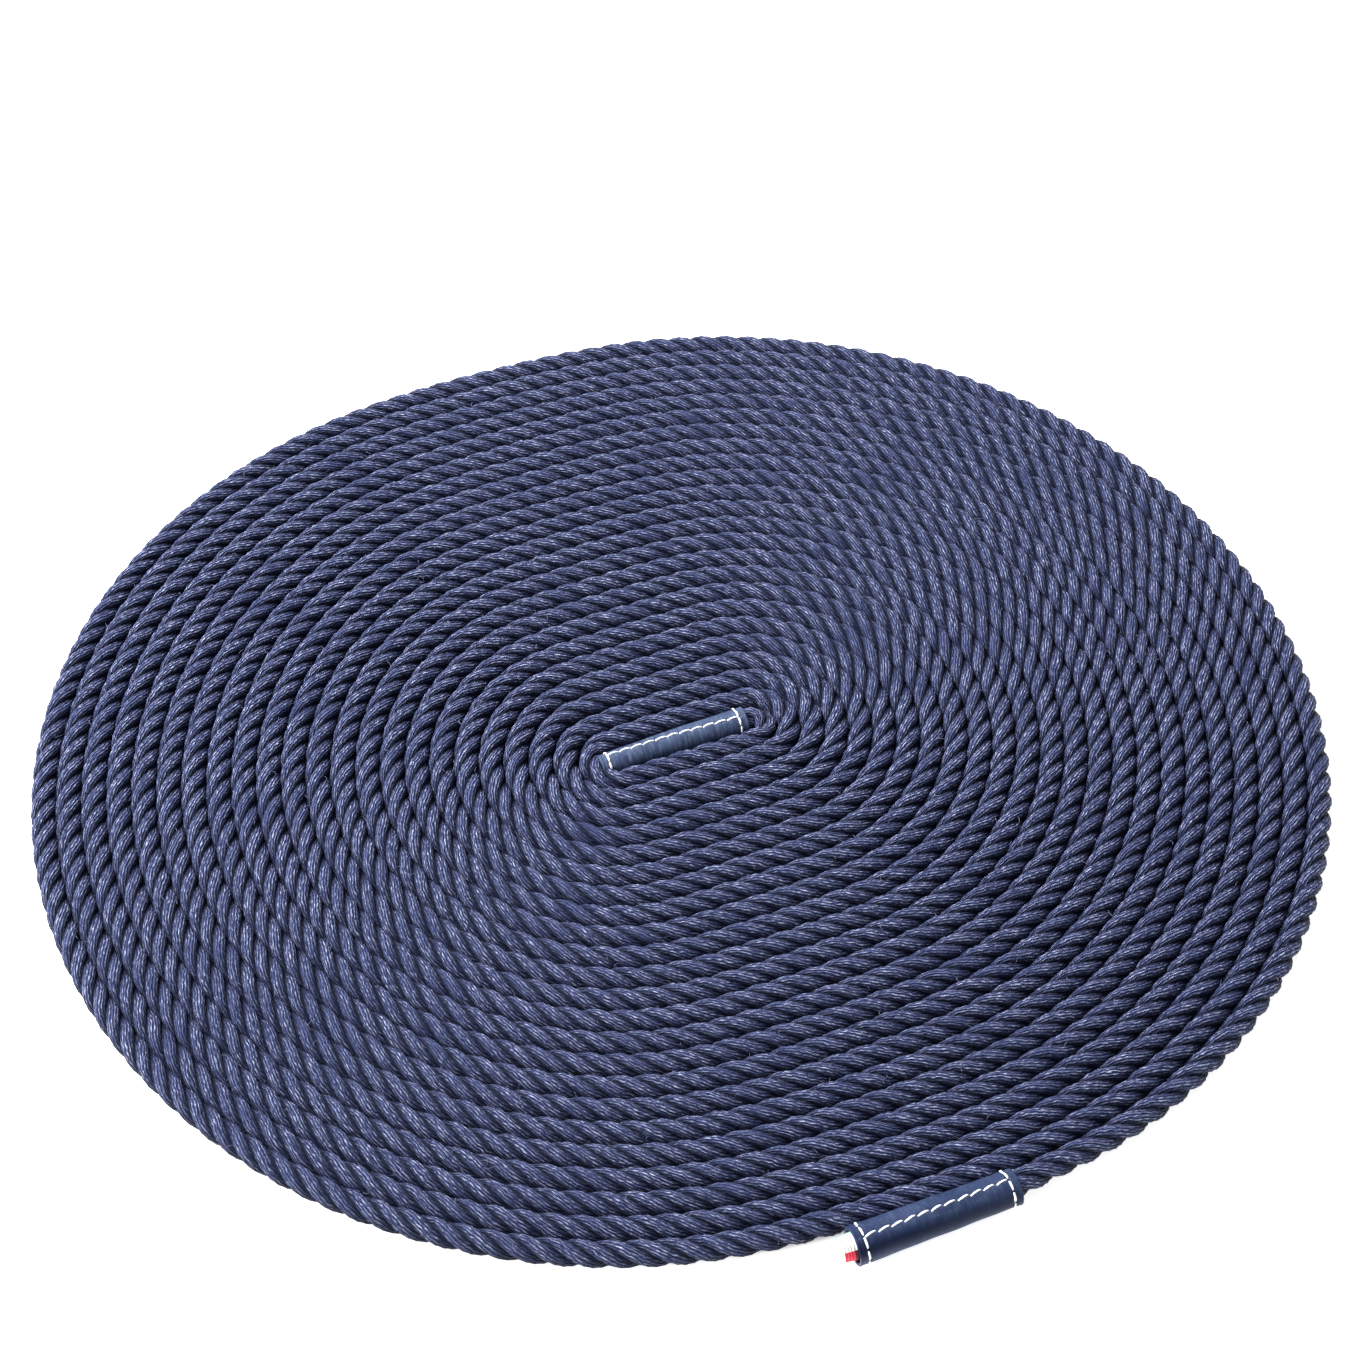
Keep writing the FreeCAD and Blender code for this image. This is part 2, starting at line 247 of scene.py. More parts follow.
# ---------------------------------------------------------------- materials
class Nodes:
    """Short names for building one material's node tree."""

    def __init__(self, name):
        self.material = bpy.data.materials.new(name)
        self.material.use_nodes = True
        self.tree = self.material.node_tree
        self.shader = self.tree.nodes["Principled BSDF"]

    def add(self, kind, inputs=None, **settings):
        node = self.tree.nodes.new(kind)
        for key, value in settings.items():
            setattr(node, key, value)
        for key, value in (inputs or {}).items():
            self.set(node.inputs[key], value)
        return node

    def set(self, socket, value):
        if isinstance(value, bpy.types.NodeSocket):
            self.tree.links.new(value, socket)
        else:
            socket.default_value = value

    def math(self, operation, a, b=0.0, c=0.0):
        return self.add("ShaderNodeMath", {0: a, 1: b, 2: c}, operation=operation).outputs[0]

    def noise(self, vector, scale, detail=3.0, rough=0.55):
        inputs = {"Vector": vector, "Scale": scale, "Detail": detail, "Roughness": rough}
        return self.add("ShaderNodeTexNoise", inputs).outputs["Fac"]

    def mix(self, share, a, b):
        node = self.add("ShaderNodeMix", data_type="RGBA")
        self.set(node.inputs["Factor"], share)
        self.set(node.inputs["A"], a)
        self.set(node.inputs["B"], b)
        return node.outputs["Result"]

    def ramp(self, value, low, high):
        node = self.add("ShaderNodeMapRange", {"Value": value, "From Min": low, "From Max": high})
        return node.outputs["Result"]

    def bump(self, height, distance, strength=1.0):
        inputs = {"Height": height, "Distance": distance, "Strength": strength}
        return self.add("ShaderNodeBump", inputs).outputs["Normal"]

    def look(self, **values):
        for key, value in values.items():
            self.set(self.shader.inputs[key.replace("_", " ")], value)


def rgb(red, green, blue):
    return (red, green, blue, 1.0)


YARNS = 13  # yarns round the outside of one strand
YARN_TURNS = 20.0  # turns of a yarn round its strand in a metre of rope
PLY_TURNS = 330.0  # turns of a yarn's own twist in a metre of rope


def rope_material(name, shift):
    """Navy yarns that run nearly along the rope, with short painted glints, and painted shade in
    all its grooves.
    """
    n = Nodes(name)
    uv = n.add("ShaderNodeUVMap", uv_map="along_around").outputs["UV"]
    split = n.add("ShaderNodeSeparateXYZ", {"Vector": uv})
    along, around = split.outputs["X"], split.outputs["Y"]
    place = n.add("ShaderNodeNewGeometry").outputs["Position"]
    height_here = n.add("ShaderNodeSeparateXYZ", {"Vector": place}).outputs["Z"]
    # the strand's own twist turns against the lay of the rope
    turned = n.math("MULTIPLY_ADD", along, YARN_TURNS, around)
    angle = n.math("MULTIPLY", turned, 2 * math.pi)
    wander = n.math("MULTIPLY", n.noise(place, 300.0, 2.0), 8.0)
    yarn = n.math("MULTIPLY_ADD", angle, float(YARNS), wander)
    ridge = n.math("MULTIPLY_ADD", n.math("SINE", yarn), 0.5, 0.5)
    # each yarn is itself twisted, so its highlights break up into short slanted dashes
    twist = n.math("MULTIPLY_ADD", along, 2 * math.pi * PLY_TURNS, n.math("MULTIPLY", yarn, 0.6))
    ply = n.math("MULTIPLY_ADD", n.math("SINE", twist), 0.5, 0.5)
    round_x = n.math("MULTIPLY", n.math("COSINE", angle), 1.7)
    round_y = n.math("MULTIPLY", n.math("SINE", angle), 1.7)
    long_way = n.math("MULTIPLY", along, 130.0)
    streak = n.add("ShaderNodeCombineXYZ", {"X": round_x, "Y": round_y, "Z": long_way})
    dash = n.noise(streak.outputs[0], 3.6 + 0.1 * shift, 3.0, 0.65)
    short_way = n.math("MULTIPLY", along, 330.0)
    fine = n.add("ShaderNodeCombineXYZ", {"X": round_x, "Y": round_y, "Z": short_way})
    fibre = n.noise(fine.outputs[0], 8.0, 3.0, 0.7)
    patch = n.noise(place, 50.0 + shift, 3.0)
    base = n.mix(n.ramp(fibre, 0.38, 0.64), rgb(0.014, 0.020, 0.066), rgb(0.126, 0.149, 0.335))
    base = n.mix(n.math("MULTIPLY", n.ramp(dash, 0.48, 0.36), 0.85), base, rgb(0.004, 0.007, 0.028))
    # painted highlight: short pale glints on the yarn crests
    glint = n.math("MULTIPLY", n.ramp(dash, 0.49, 0.58), n.ramp(ridge, 0.35, 0.8))
    glint = n.math("MULTIPLY", glint, n.ramp(ply, -0.2, 0.7))
    glint = n.math("MULTIPLY", glint, n.ramp(patch, 0.26, 0.48))
    base = n.mix(n.math("MULTIPLY", glint, 0.95), base, rgb(0.520, 0.565, 0.770))
    # painted shade: darker between the yarns' ridges
    base = n.mix(n.math("MULTIPLY", n.ramp(ridge, 0.42, 0.0), 0.9), base, rgb(0.002, 0.004, 0.020))
    # painted shade: nearly black on each strand's inner side, where strands and turns meet, and on
    # the rope's lower part near the floor
    outward = n.math("COSINE", n.math("MULTIPLY", around, 2 * math.pi))
    above = n.ramp(height_here, 0.0040, 0.0080)
    open_share = n.math("MULTIPLY", n.ramp(outward, 0.10, 0.85), above)
    painted_shade = n.math("MULTIPLY", n.math("SUBTRACT", 1.0, open_share), 0.95)
    base = n.mix(painted_shade, base, rgb(0.0008, 0.0018, 0.012))
    height = n.math("MULTIPLY_ADD", dash, 1.3, n.math("MULTIPLY_ADD", fibre, 0.6, ridge))
    n.look(Base_Color=base, Roughness=n.ramp(fibre, -0.9, 1.4), Normal=n.bump(height, 0.0008, 1.0))
    n.look(Specular_IOR_Level=0.20, Specular_Tint=rgb(0.58, 0.70, 1.0))
    n.look(Sheen_Weight=0.08, Sheen_Roughness=0.4, Sheen_Tint=rgb(0.40, 0.45, 0.95))
    return n.material


def leather_material(name, crease, dark, light, shine, shade):
    """Smooth dyed leather with fine grain, rubbed a little lighter, creased across its length.

    shade is how much darker the leather is painted along its front, between the seam and the lower
    edge: a painted dark reflection.
    """
    n = Nodes(name)
    place = n.add("ShaderNodeNewGeometry").outputs["Position"]
    uv = n.add("ShaderNodeUVMap", uv_map="along_around").outputs["UV"]
    split = n.add("ShaderNodeSeparateXYZ", {"Vector": uv})
    cells = n.add(
        "ShaderNodeTexVoronoi", {"Vector": place, "Scale": 1500.0}, feature="DISTANCE_TO_EDGE")
    grain = n.ramp(cells.outputs["Distance"], 0.0, 0.25)
    across = n.add("ShaderNodeCombineXYZ", {"X": n.math("MULTIPLY", split.outputs["X"], 700.0),
                                            "Y": n.math("MULTIPLY", split.outputs["Y"], 5.0)})
    creases = n.noise(across.outputs[0], 1.0, 4.0, 0.6)
    mottle = n.noise(place, 300.0, 4.0, 0.6)
    patch = n.noise(place, 60.0, 3.0)
    base = n.mix(n.ramp(patch, 0.35, 0.7), dark, light)
    rubbed = n.math("MULTIPLY", n.ramp(mottle, 0.52, 0.72), 0.45)
    base = n.mix(rubbed, base, rgb(0.055, 0.078, 0.150))
    # painted highlight on the crease tops and painted shade in the folds, following the creases'
    # relief
    crease_painted_highlight = n.math("MULTIPLY", n.ramp(creases, 0.50, 0.70), 0.8 * crease)
    base = n.mix(crease_painted_highlight, base, rgb(0.105, 0.135, 0.215))
    folded = n.math("MULTIPLY", n.ramp(creases, 0.46, 0.30), 0.7 * crease)
    base = n.mix(folded, base, rgb(0.018, 0.027, 0.062))
    # v runs once round the sleeve: 0.5 is its front and 0.75 its top
    # painted dark reflection: a strip along the front, between the seam and the lower edge, is made
    # nearly black
    drift = n.math("MULTIPLY_ADD", split.outputs["X"], 0.98, split.outputs["Y"])
    dark_reflection_middle = n.math("MULTIPLY_ADD", patch, 0.05, 0.580)
    aside = n.math("ABSOLUTE", n.math("SUBTRACT", drift, dark_reflection_middle))
    dark_reflection_band = n.math("MULTIPLY", n.ramp(aside, 0.110, 0.020), shade)
    base = n.mix(dark_reflection_band, base, rgb(0.0010, 0.0050, 0.026))
    height = n.math("MULTIPLY_ADD", creases, 1.6 * crease, mottle)
    height = n.math("MULTIPLY_ADD", grain, 0.35, height)
    n.look(Base_Color=base, Roughness=n.ramp(mottle, -0.45, 1.75))
    n.look(Normal=n.bump(height, 0.00016, 0.75))
    n.look(Specular_IOR_Level=shine, Specular_Tint=rgb(0.70, 0.80, 1.0))
    return n.material


def thread_material():
    """Waxed white thread, its twist just showing."""
    n = Nodes("white_thread")
    place = n.add("ShaderNodeNewGeometry").outputs["Position"]
    uv = n.add("ShaderNodeUVMap", uv_map="along_around").outputs["UV"]
    split = n.add("ShaderNodeSeparateXYZ", {"Vector": uv})
    twist = n.math("MULTIPLY_ADD", split.outputs["X"], 1300.0, split.outputs["Y"])
    ply = n.math("MULTIPLY_ADD", n.math("SINE", n.math("MULTIPLY", twist, 4 * math.pi)), 0.5, 0.5)
    fleck = n.noise(place, 1800.0, 3.0)
    # painted shade in the grooves between the thread's plies
    ply_groove_painted_shade = n.math("MULTIPLY", n.ramp(ply, 0.5, 0.0), 0.35)
    base = n.mix(ply_groove_painted_shade, rgb(0.93, 0.94, 0.97), rgb(0.62, 0.65, 0.76))
    base = n.mix(n.math("MULTIPLY", n.ramp(fleck, 0.55, 0.75), 0.3), base, rgb(0.70, 0.72, 0.80))
    n.look(Base_Color=base, Roughness=n.ramp(fleck, -0.6, 1.6), Normal=n.bump(ply, 0.00012, 0.7))
    return n.material


RIB = 1.1 * MM  # from one rib of the ribbon to the next
RED_FROM = 8.0 * MM  # where the red band starts, measured round the ribbon's bend


def ribbon_material():
    """Ribbed ribbon in three bands; u is metres round the bend from its upper edge."""
    n = Nodes("ribbed_ribbon")
    uv = n.add("ShaderNodeUVMap", uv_map="along_around").outputs["UV"]
    along = n.add("ShaderNodeSeparateXYZ", {"Vector": uv}).outputs["X"]
    place = n.add("ShaderNodeNewGeometry").outputs["Position"]
    x = n.add("ShaderNodeSeparateXYZ", {"Vector": place}).outputs["X"]
    wave = n.math("SINE", n.math("MULTIPLY", x, 2 * math.pi / RIB))
    rib = n.math("MULTIPLY_ADD", wave, 0.5, 0.5)
    fibre = n.noise(place, 2200.0, 3.0, 0.6)
    # each colour is darker in the valleys between ribs and lighter on their crests: painted shade
    # and light of the ribs
    red = n.mix(n.ramp(rib, 0.1, 0.8), rgb(0.46, 0.012, 0.030), rgb(0.86, 0.042, 0.085))
    # the sleeve's mouth shades it
    in_mouth = n.ramp(x, OUTER_LOW.x - 0.9 * MM, OUTER_LOW.x - 0.4 * MM)
    red = n.mix(in_mouth, red, rgb(0.050, 0.002, 0.008))
    white = n.mix(n.ramp(rib, 0.1, 0.8), rgb(0.90, 0.90, 0.91), rgb(0.96, 0.96, 0.97))
    green = n.mix(n.ramp(rib, 0.1, 0.8), rgb(0.20, 0.52, 0.36), rgb(0.34, 0.68, 0.50))
    base = n.mix(n.ramp(along, 0.0004, 0.0016), green, white)
    base = n.mix(n.ramp(along, RED_FROM - 0.00015, RED_FROM + 0.00015), base, red)
    base = n.mix(n.math("MULTIPLY", n.ramp(fibre, 0.5, 0.8), 0.12), base, rgb(0.90, 0.55, 0.58))
    height = n.math("MULTIPLY_ADD", fibre, 0.4, rib)
    n.look(Base_Color=base, Roughness=n.ramp(fibre, -1.2, 1.6), Normal=n.bump(height, 0.0003, 0.7))
    n.look(Specular_IOR_Level=0.25)
    return n.material


def fuzz_material(name, dark, light):
    """Matt fibre between two tones."""
    n = Nodes(name)
    place = n.add("ShaderNodeNewGeometry").outputs["Position"]
    n.look(Base_Color=n.mix(n.noise(place, 900.0, 2.0), dark, light), Roughness=0.8)
    return n.material


rope_looks = [rope_material("navy_yarn_%d" % number, number * 1.7) for number in range(3)]
smooth_leather = leather_material(
    "navy_leather_smooth", crease=0.25, shine=0.14, shade=0.97,
    dark=rgb(0.016, 0.026, 0.064), light=rgb(0.027, 0.040, 0.090))
creased_leather = leather_material(
    "navy_leather_creased", crease=1.0, shine=0.20, shade=0.0,
    dark=rgb(0.034, 0.050, 0.102), light=rgb(0.052, 0.073, 0.138))
thread = thread_material()
ribbon_look = ribbon_material()

# ---------------------------------------------------------------- rope
LAY = 32.0 * MM  # of rope for one full twist of its strands
STRAND_MIDDLE = 0.247 * ROPE  # from the rope's middle
STRAND_RADIUS = 0.260 * ROPE
STEP = 2.5 * MM  # from one ring of a strand's points to the next
AROUND = 12  # points in a ring
SLIP = 0.9  # radians by which the lay wanders to and fro
SWELL = 0.035  # share by which a strand grows thicker and thinner
PRESSED_HALF_WIDTH = 0.56 * ROPE
FREE_START = 0.075  # metres in the inner sleeve and the fold, which press against nothing
LAST_TURN = 1.63  # metres at the outer end with nothing against their outer side


def pressed(rings, line, left, up, at):
    """The rope's lower half pressed full where another turn lies against it."""
    offset = rings - line[:, None, :]
    aside = np.einsum("ijk,ik->ij", offset, left)
    above = np.einsum("ijk,ik->ij", offset, up)
    started = np.clip((at - FREE_START) / 0.02, 0, 1)
    inner_turns = np.clip((at[-1] - LAST_TURN - at) / 0.03, 0, 1)
    touching = np.where(aside > 0, (started * inner_turns)[:, None], started[:, None])
    # not at all above the rope's middle, and fully a little below it
    low = np.clip((0.14 * ROPE - above) / (0.28 * ROPE), 0, 1)
    low = low * low * (3 - 2 * low)
    facing = np.clip(np.abs(aside) / (0.26 * ROPE), 0, 1) ** 2
    full = np.sign(aside) * np.sqrt(np.maximum(PRESSED_HALF_WIDTH ** 2 - above ** 2, 0))
    moved = (full - aside) * low * facing * touching
    return rings + moved[:, :, None] * left[:, None, :]


def build_rope():
    """The rope's line and its three strands."""
    points = [np.array(point) for point in INNER_ROUTE] + coil_points()
    points += [coil_point(TURN_END)] + [np.array(point) for point in TAIL_ROUTE]
    control = [point * MM + CENTRE for point in points]
    line, at = spaced(smooth_line(control), STEP)
    along, left, up = frames(line)
    strands = []
    # the lay and the strands' thickness vary a little along the rope
    slip = np.array([noise.noise(Vector((distance / 0.22, 0.3, 0.7))) for distance in at])
    swell = np.array([noise.noise(Vector((distance / 0.035, 5.1, 2.3))) for distance in at])
    # the inner sleeve squeezes the rope a little
    gathered = np.interp(at, [0.0, 0.045, 0.062], [0.88, 0.93, 1.0])
    for strand in range(3):
        phase = 2 * math.pi * (at / LAY + strand / 3) + SLIP * slip
        out = np.cos(phase)[:, None] * left + np.sin(phase)[:, None] * up
        turn = np.cos(phase)[:, None] * up - np.sin(phase)[:, None] * left
        middle = line + (STRAND_MIDDLE * gathered)[:, None] * out
        way = along + turn * (2 * math.pi * STRAND_MIDDLE / LAY)
        way /= np.linalg.norm(way, axis=1)[:, None]
        side = np.cross(way, out)
        angles = np.arange(AROUND) * 2 * math.pi / AROUND
        ring = np.cos(angles)[None, :, None] * out[:, None, :]
        ring = ring + np.sin(angles)[None, :, None] * side[:, None, :]
        thick = STRAND_RADIUS * gathered * (1 + SWELL * np.roll(swell, 40 * strand))
        rings = middle[:, None, :] + thick[:, None, None] * ring
        rings = pressed(rings, line, left, up, at)
        strands.append(tubes("rope_strand_%d" % (strand + 1), [(rings, at)], rope_looks[strand]))
    return line, strands


rope_line, strands = build_rope()


# ---------------------------------------------------------------- leather sleeves
LEATHER = 1.2 * MM
RING_IN = 3.5 * MM  # from a sleeve's end to its ring of stitches
SEAM_STITCHES = 11
RING_STITCHES = 9
RING_THREAD = (0.45 * MM, 0.32 * MM)  # half its width and half its height


class Sleeve:
    """Leather tube along X, wrapped round the rope and sewn along a seam and round each end.

    sizes are its radius at each station along it, as a share of the CAD sleeve's; rise says how far
    a narrower place moves in Y; seam is the seam's angle at each ring; shift moves it all, in mm.
    """

    def __init__(self, node, stations, sizes, rise, seam, shift):
        low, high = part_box(node)
        self.left, self.right = low.x + shift[0] * MM, high.x + shift[0] * MM
        self.base, self.back = low.z, high.y + shift[1] * MM
        self.full = (high.z - low.z) / 2
        self.stations, self.sizes, self.rise, self.seam = stations, sizes, rise, seam
        self.holes = []

    def share(self, x):
        return np.clip((x - self.left) / (self.right - self.left), 0, 1)

    def radius(self, x):
        return self.full * np.interp(self.share(x), self.stations, self.sizes)

    def seam_angle(self, x):
        return np.interp(x, [self.left + RING_IN, self.right - RING_IN], self.seam)

    def place(self, x, angle, lift=0.0):
        """Point at that angle round the sleeve, 0 at the back and 90 degrees at the top."""
        x, angle = np.broadcast_arrays(np.asarray(x, float), np.asarray(angle, float))
        radius = self.radius(x)
        y = self.back - self.full + self.rise * (self.full - radius)
        reach = radius + lift
        z = self.base + radius + reach * np.sin(angle)
        return np.stack([x, y + reach * np.cos(angle), z], axis=-1)

    def out(self, angle):
        return np.stack([0 * angle, np.cos(angle), np.sin(angle)], axis=-1)

    def relief(self, x, angle):
        """How far the leather stands out or is pulled in there."""
        # uneven all over
        short_wave = np.sin(x / (3.1 * MM) + 2 * np.sin(angle))
        lift = 0.10 * MM * short_wave * np.sin(2 * angle + x / (11 * MM))
        # one edge lies higher than the other at the seam, with a furrow between them
        from_seam = np.degrees(angle - np.radians(self.seam_angle(x)) + 3 * math.pi) % 360 - 180
        away = self.full * np.radians(from_seam)
        lift += 0.16 * MM * np.tanh(away / (0.35 * MM)) * np.exp(-np.abs(away) / (2.2 * MM))
        lift -= 0.12 * MM * np.exp(-((away / (0.4 * MM)) ** 2))
        # a furrow under each ring of stitches, and a fuller lip outside it
        for end, inward in ((self.left, 1), (self.right, -1)):
            lift -= 0.16 * MM * np.exp(-(((x - end) / MM - inward * RING_IN / MM) / 0.55) ** 2)
            lift += 0.16 * MM * np.exp(-(np.abs(x - end) / (0.9 * MM)) ** 2)
        # a dimple at every stitch hole
        for hole_x, hole_angle in self.holes:
            turn = (angle - hole_angle + math.pi) % (2 * math.pi) - math.pi
            far = ((x - hole_x) ** 2 + (self.full * turn) ** 2) / (0.6 * MM) ** 2
            lift -= 0.34 * MM * np.exp(-far)
        return lift

    def leather(self, name, material):
        """The tube with its lips rounded, as one closed skin."""
        around, lip = 120, 0.35 * MM
        outside = np.linspace(self.left + lip, self.right - lip, 240)
        inside = np.linspace(self.right - lip, self.left + lip, 24)
        bend = np.linspace(0, math.pi, 7)[1:-1]
        half = LEATHER / 2
        x = np.concatenate([
            outside, self.right - lip + lip * np.sin(bend),
            inside, self.left + lip - lip * np.sin(bend)])
        depth = np.concatenate([
            np.zeros(len(outside)), -half + half * np.cos(bend),
            np.full(len(inside), -LEATHER), -half - half * np.cos(bend)])
        angle = np.arange(around) * 2 * math.pi / around
        x_grid, angle_grid = np.meshgrid(x, -angle, indexing="ij")
        lift = self.relief(x_grid, angle_grid) * np.clip(1 + depth / LEATHER, 0, 1)[:, None]
        rings = self.place(x_grid, angle_grid, lift + depth[:, None])
        return tubes(name, [(rings, np.append(x, x[0]) - self.left)], material, closed=True)

    def stitch(self, start, end, bulge, wide, tall):
        """One thread from hole to hole on the leather; bulge bows it sideways."""
        share = np.linspace(0, 1, 13)
        arch = np.sin(math.pi * share)
        # its ends are sunk in their holes and its middle rises above the leather
        sunk = -0.55 * MM + 0.72 * MM * arch ** 0.45
        x = start[0] + (end[0] - start[0]) * share
        angle = start[1] + (end[1] - start[1]) * share - bulge * arch / self.full
        line = self.place(x, angle, sunk)
        width = wide * (0.62 + 0.38 * arch ** 0.5)
        rings = rings_along(line, width, tall * (0.7 + 0.3 * arch ** 0.5), self.out(angle))
        self.holes += [start, end]
        return rings, share * 0.004

    def sew_seam(self, cover, slant, bulge, wide, chance):
        """Stitches from ring to ring.

        cover is how much of the seam is thread, slant how far each stitch leans, bulge how far it
        bows and wide half its width.
        """
        run = (self.right - self.left - 2 * RING_IN) / SEAM_STITCHES
        parts = []
        for number in range(SEAM_STITCHES):
            middle = self.left + RING_IN + run * (number + 0.5 + chance.uniform(-0.03, 0.03))
            angle = math.radians(float(self.seam_angle(middle))) + chance.uniform(-0.012, 0.012)
            reach = run * cover / 2 * chance.uniform(0.95, 1.03)
            fall = math.radians(float(self.seam_angle(middle + reach) - self.seam_angle(middle)))
            lean = slant * chance.uniform(0.7, 1.25) / self.full - fall
            start, end = (middle - reach, angle + lean), (middle + reach, angle - lean)
            bow = bulge * chance.uniform(0.7, 1.3)
            parts.append(self.stitch(start, end, bow, wide, 0.72 * wide))
        return parts

    def sew_rings(self, cover, chance):
        """A ring of stitches near each end; cover is how much of it is thread."""
        parts = []
        step = 2 * math.pi / RING_STITCHES
        for x, seam in ((self.left + RING_IN, self.seam[0]), (self.right - RING_IN, self.seam[1])):
            for number in range(RING_STITCHES):
                angle = math.radians(seam) + step * (number + 0.5) + chance.uniform(-0.02, 0.02)
                reach = step * cover / 2 * chance.uniform(0.94, 1.04)
                sway = chance.uniform(-0.12, 0.12) * MM
                start, end = (x + sway, angle - reach), (x - sway, angle + reach)
                parts.append(self.stitch(start, end, 0.0, *RING_THREAD))
        return parts


inner = Sleeve(
    "inner_sleeve", stations=[0.0, 0.5, 1.0], sizes=[0.82, 0.905, 0.94],
    rise=-1.5, seam=[76.0, 106.0], shift=(-1.3, 0.0))
outer = Sleeve(
    "outer_sleeve", stations=[0.0, 0.06, 0.35, 1.0], sizes=[1.045, 1.035, 1.01, 0.955],
    rise=1.0, seam=[98.0, 87.0], shift=(0.0, 0.8))

chance = random.Random(7)
seams = {
    "inner_seam": inner.sew_seam(0.97, 0.20 * MM, 0.26 * MM, 0.40 * MM, chance),
    "outer_seam": outer.sew_seam(0.87, 0.40 * MM, 0.12 * MM, 0.41 * MM, chance),
    "inner_ring": inner.sew_rings(0.95, chance),
    "outer_ring": outer.sew_rings(0.80, chance),
}
for name, parts in seams.items():
    piece = tubes(name + "_thread", parts, thread)
    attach(piece, "root")
    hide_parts(name + "_stitches")

leathers = {
    "inner_sleeve": inner.leather("inner_leather", creased_leather),
    "outer_sleeve": outer.leather("outer_leather", smooth_leather),
}
for node, piece in leathers.items():
    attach(piece, "root")
    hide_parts(node)


# ---------------------------------------------------------------- ribbon tab
def build_ribbon():
    """Ribbon bent round the mouth's upper, near and lower sides; its free end curls inwards."""
    low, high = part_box("ribbon_tab")
    bore = outer.full - LEATHER
    thick = 0.45 * MM
    mouth = outer.left + 0.5 * MM
    middle_y = outer.back - outer.full
    middle_z = outer.base + outer.radius(np.array([outer.left]))[0]
    turns = np.radians(np.linspace(55.0, 280.0, 91))
    x = np.linspace(low.x, high.x, 75)
    ribs = 0.06 * MM * np.sin(2 * math.pi * x / RIB)
    free = np.clip((mouth - x) / (mouth - low.x), 0, 1)
    rings = []
    for turn in turns:
        # how far its free end curls in, sticks out and stays off the bore, round the bend
        degrees = math.degrees(turn)
        curl = np.interp(degrees, [110, 185, 212], [0.8, 1.1, 0.5])
        short = np.interp(
            degrees, [55, 80, 125, 170, 200, 240, 280], [1.0, 0.9, 0.70, 0.70, 0.68, 0.5, 0.3])
        loose = np.interp(degrees, [110, 130, 150], [0.0, 0.5, 0.6]) * MM
        reach = np.where(free > 0, mouth - (mouth - x) * short, x)
        radius = bore - loose - curl * MM * free ** 1.4 + ribs
        faces = []
        for depth, order in ((0.0, 1), (-thick, -1)):
            distance = radius + depth
            y, z = middle_y + distance * math.cos(turn), middle_z + distance * math.sin(turn)
            faces.append(np.stack([reach, y, z], axis=-1)[::order])
        rings.append(np.concatenate(faces))
    return tubes("ribbon_bands", [(np.array(rings), (turns - turns[0]) * bore)], ribbon_look)


ribbon = build_ribbon()
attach(ribbon, "root")
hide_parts("ribbon_tab")

# ---------------------------------------------------------------- the rope's strands, fixed to the root body
for piece in strands:
    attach(piece, "root")
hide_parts("rope_coil", "rope_inner_end", "rope_outer_end")


# ---------------------------------------------------------------- loose fibres
def hairs(name, starts, length, thick, material, chance):
    """Thin curved fibres that stand a little off the rope."""
    parts = []
    for start, along in starts:
        heading = math.atan2(along[1], along[0]) + chance.gauss(0, 0.9)
        curve = chance.gauss(0, 1.6)
        size = length * chance.uniform(0.4, 1.0)
        top = chance.uniform(0.15, 0.55)
        points = []
        here = Vector(start)
        for step in range(7):
            points.append(np.array(here))
            lift = math.cos(step / 6 * math.pi * 0.9) * top
            here += Vector((math.cos(heading), math.sin(heading), lift)) * size / 6
            heading += curve / 6
        points = np.array(points)
        points[:, 2] = np.maximum(points[:, 2], 0.2 * MM)
        up = np.tile([0.0, 0.0, 1.0], (7, 1))
        widths = thick * np.array([1.0, 1.0, 0.95, 0.9, 0.8, 0.6, 0.3])
        parts.append((rings_along(points, widths, widths, up, 4), np.linspace(0, size, 7)))
    return tubes(name, parts, material)


LOOSE_FIBRES = 900
FIBRE_LENGTH = 4.5 * MM  # the longest
FIBRE_RADIUS = 0.06 * MM


def build_fuzz():
    """Short fibres all over the rope, and one more at the coil's near edge."""
    chance = random.Random(19)
    along, left, up = frames(rope_line)
    first, last = int(0.004 * len(rope_line)), int(0.996 * len(rope_line))
    starts = []
    for _ in range(LOOSE_FIBRES):
        spot = chance.randrange(first, last)
        lean = math.radians(chance.uniform(15, 165))
        outward = math.cos(lean) * left[spot] + math.sin(lean) * up[spot]
        starts.append((rope_line[spot] + 0.92 * ROPE / 2 * outward, along[spot]))
    starts.append((CENTRE + np.array([-0.068, -0.228, 0.0085]), np.array([0.7, 0.7, 0.0])))
    look = fuzz_material("loose_fibre", rgb(0.06, 0.065, 0.15), rgb(0.36, 0.38, 0.62))
    return hairs("rope_fuzz", starts, FIBRE_LENGTH, FIBRE_RADIUS, look, chance)


fuzz = build_fuzz()
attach(fuzz, "root")


